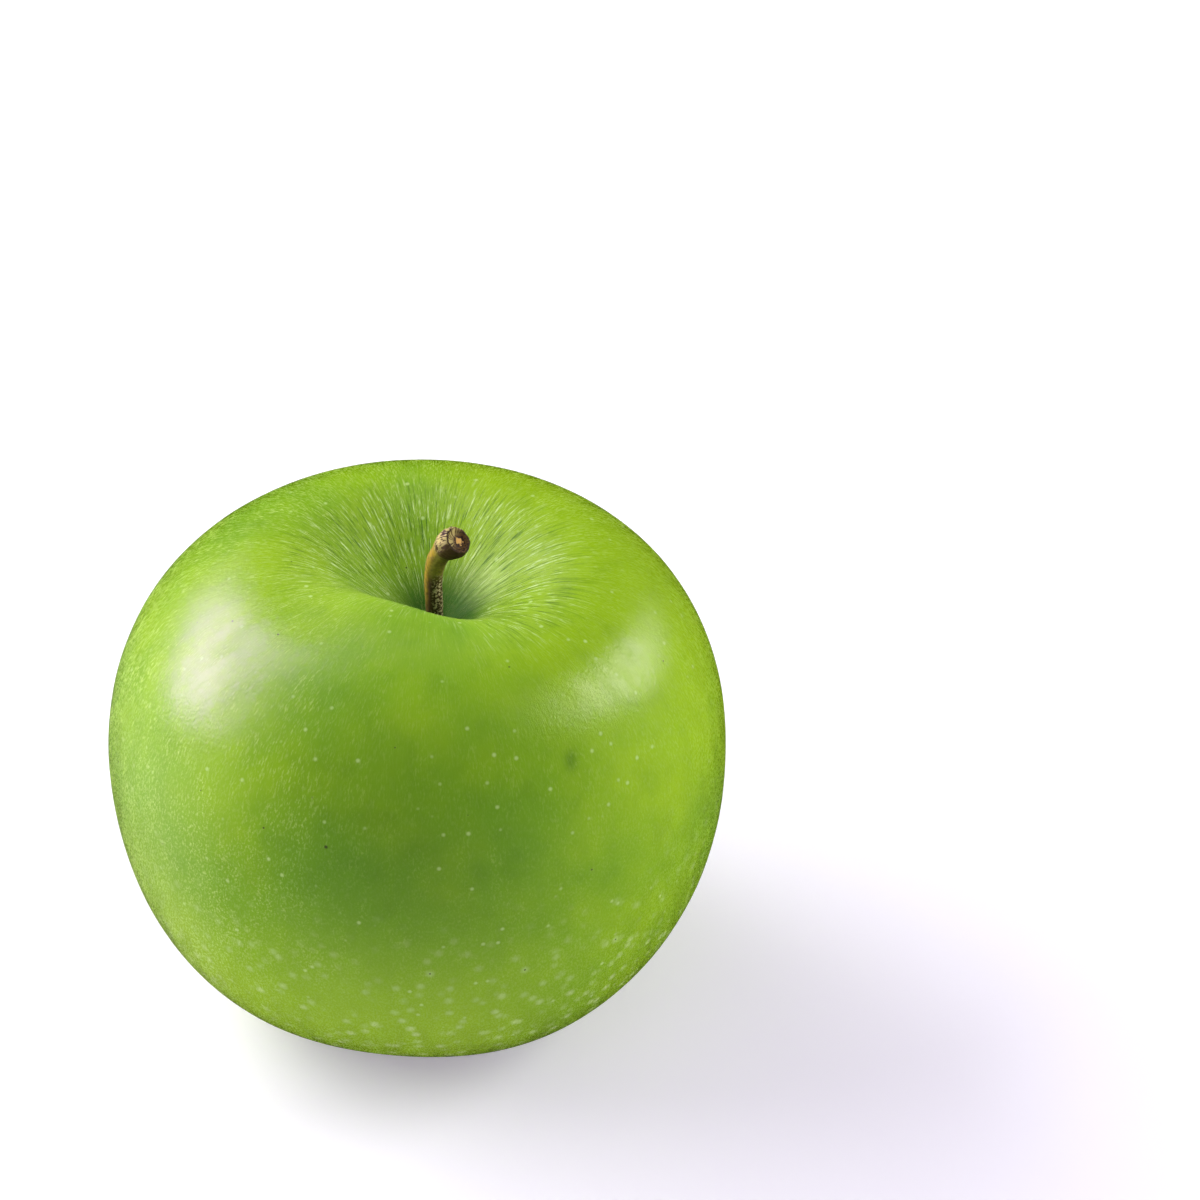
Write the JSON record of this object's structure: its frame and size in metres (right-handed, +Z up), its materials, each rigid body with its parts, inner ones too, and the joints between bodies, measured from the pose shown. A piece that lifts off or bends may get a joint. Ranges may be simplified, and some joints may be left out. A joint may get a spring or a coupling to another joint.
{
  "type": "green apple",
  "caption": "Whole ripe green apple with a bent woody stem, a funnel-shaped stem cavity and a dried calyx underneath, standing on its calyx crowns.",
  "frame": {"origin": "on the surface the apple stands on, under the middle of the fruit's box", "axes": "+Z up along the stem end, +X to the right across the widest way, -Y towards the side the stem's broken end leans to"},
  "size_m": [0.0778, 0.0726, 0.0683],
  "materials": {
    "skin": "waxy yellow-green apple skin with fine pale radial streaks and pale dots, glossy",
    "stem": "dry brown and olive bark, matt",
    "sepals": "dried grey-green leaf, matt",
    "stamens": "dried brown threads, matt"
  },
  "bodies": {
    "root": {"fruit": "skin", "stem": "stem", "sepals": "sepals", "stamens": "stamens"}
  },
  "joints": []
}
